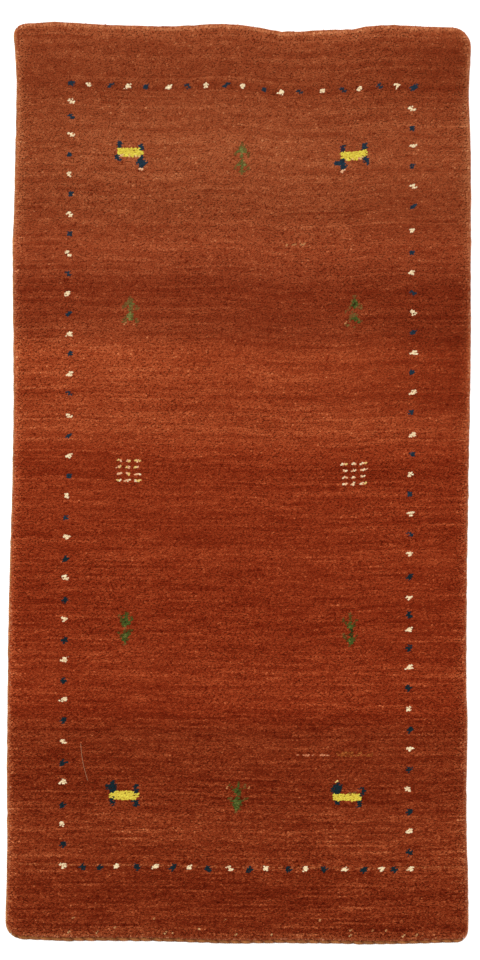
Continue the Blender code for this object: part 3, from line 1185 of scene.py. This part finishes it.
def wool_material(name, fibre_group, finish):
    """A wool whose dye, with any painted light and shade in it, the piece's points carry."""
    material = bpy.data.materials.new(name)
    material.use_nodes = True
    tree = material.node_tree
    shader = tree.nodes["Principled BSDF"]
    dye = tree.nodes.new("ShaderNodeVertexColor")
    dye.layer_name = "dye"
    fibre = tree.nodes.new("ShaderNodeGroup")
    fibre.node_tree = fibre_group
    fibre.inputs["Fibres per metre"].default_value = finish.fibres
    fibre.inputs["Mottle"].default_value = finish.mottle
    fibre.inputs["Roughness"].default_value = finish.roughness
    bump = tree.nodes.new("ShaderNodeBump")
    bump.inputs["Distance"].default_value = finish.relief
    tree.links.new(dye.outputs["Color"], fibre.inputs["Dye"])
    tree.links.new(fibre.outputs["Color"], shader.inputs["Base Color"])
    tree.links.new(fibre.outputs["Roughness"], shader.inputs["Roughness"])
    tree.links.new(fibre.outputs["Height"], bump.inputs["Height"])
    tree.links.new(bump.outputs["Normal"], shader.inputs["Normal"])
    shader.inputs["Specular IOR Level"].default_value = WOOL_SPECULAR
    return material


def back_material(fibre_group):
    """The rug's back: knots side by side in rows, with the weft drawn down between the rows."""
    material = wool_material("knotted back wool", fibre_group, BACK_FINISH)
    tree = material.node_tree
    shader = tree.nodes["Principled BSDF"]
    fibre = next(node for node in tree.nodes if node.type == "GROUP")
    bump = next(node for node in tree.nodes if node.type == "BUMP")
    loom = tree.nodes.new("ShaderNodeAttribute")
    loom.attribute_name = "loom"
    split = tree.nodes.new("ShaderNodeSeparateXYZ")
    tree.links.new(loom.outputs["Vector"], split.inputs["Vector"])
    across = math_node(tree, "MULTIPLY", split.outputs["X"], LOOPS_PER_KNOT * math.tau)
    along = math_node(tree, "MULTIPLY", split.outputs["Y"], math.tau)
    loops = math_node(tree, "MULTIPLY", math_node(tree, "COSINE", across, 0.0), LOOP_RELIEF)
    ridges = math_node(tree, "MULTIPLY", math_node(tree, "COSINE", along, 0.0), RIDGE_RELIEF)
    knotted = math_node(tree, "ADD", math_node(tree, "ADD", loops, MEAN_RELIEF), ridges)
    fuzz = math_node(tree, "MULTIPLY", fibre.outputs["Height"], FIBRE_RELIEF)
    height = math_node(tree, "ADD", knotted, fuzz)
    tree.links.new(height, bump.inputs["Height"])
    # The colour follows the relief: painted light on the loops and ridges, painted shade on the low
    # ground between them
    shade = tree.nodes.new("ShaderNodeVectorMath")
    shade.operation = "SCALE"
    tree.links.new(fibre.outputs["Color"], shade.inputs[0])
    tree.links.new(math_node(tree, "ADD", knotted, BACK_PAINTED_SHADE), shade.inputs["Scale"])
    tree.links.new(shade.outputs["Vector"], shader.inputs["Base Color"])
    return material


def pale_floor():
    """A plain white floor that reaches far past the rug."""
    mesh = bpy.data.meshes.new("pale_floor")
    sides = ((-1, -1), (1, -1), (1, 1), (-1, 1))
    corners = [(x * FLOOR_REACH, y * FLOOR_REACH, 0) for x, y in sides]
    mesh.from_pydata(corners, [], [range(len(corners))])
    material = bpy.data.materials.new("white floor")
    material.use_nodes = True
    shader = material.node_tree.nodes["Principled BSDF"]
    shader.inputs["Base Color"].default_value = (FLOOR_WHITE, FLOOR_WHITE, FLOOR_WHITE, 1.0)
    shader.inputs["Roughness"].default_value = FLOOR_ROUGHNESS
    shader.inputs["Specular IOR Level"].default_value = 0.0
    mesh.materials.append(material)
    floor = bpy.data.objects.new("pale_floor", mesh)
    floor.location = (0, 0, -FLOOR_DROP)
    bpy.context.scene.collection.objects.link(floor)


def studio_light():
    """Even light from all round, and one large soft light from above the far left."""
    world = bpy.data.worlds.new("soft_studio")
    bpy.context.scene.world = world
    world.use_nodes = True
    background = world.node_tree.nodes["Background"]
    background.inputs["Color"].default_value = (1.0, 1.0, 1.0, 1.0)
    background.inputs["Strength"].default_value = WORLD_STRENGTH
    lamp = bpy.data.lights.new("soft_key", "SUN")
    lamp.energy = SUN_STRENGTH
    lamp.angle = math.radians(SUN_SPREAD)
    key = bpy.data.objects.new("soft_key", lamp)
    key.rotation_euler = (*np.radians(SUN_TILT), 0)
    bpy.context.scene.collection.objects.link(key)


def overhead_camera():
    """A camera straight over the rug, with its far end up."""
    lens = bpy.data.cameras.new("overhead")
    lens.sensor_width = SENSOR
    lens.lens = SENSOR * CAMERA_HEIGHT / SEEN_LENGTH
    lens.clip_end = CAMERA_SEES_TO
    camera = bpy.data.objects.new("overhead", lens)
    camera.location = (*CAMERA_PLACE, CAMERA_HEIGHT + WIDEST_HEIGHT)
    bpy.context.scene.collection.objects.link(camera)
    bpy.context.scene.camera = camera
    bpy.context.scene.view_settings.view_transform = "Standard"


def main():
    """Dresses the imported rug, and sets it under its camera and light."""
    overhead_camera()
    studio_light()
    pale_floor()
    fibre_group = wool_fibre_group()
    pile_wool = wool_material("rust pile wool", fibre_group, PILE_FINISH)
    cord_wool = wool_material("wrapped cord wool", fibre_group, CORD_FINISH)
    ground_wool = wool_material("ground wool", fibre_group, GROUND_FINISH)
    ring = level_ring("pile_cloth", WIDEST_HEIGHT)
    row, column = np.mgrid[0:ROWS, 0:COLUMNS]
    knots = loom_places(ring, (column + 0.5) / COLUMNS, 1 - (row + 0.5) / ROWS)
    dyes, field = knot_dyes(knots)
    edge = pile_edge(ring)
    for name, first, last in PILE_PIECES:
        rows = range(first, last)
        pile_piece(name, rows, edge, knots, dyes, field, pile_wool)
    pile_rim(edge, pile_wool)
    knotted_back(ring, knots, dyes, back_material(fibre_group))
    for cord in CORDS:
        edge_cord(cord, ring, cord_wool)
    stray_hair(cord_wool)
    cloth = knotted_cloth(edge, ground_wool)


main()
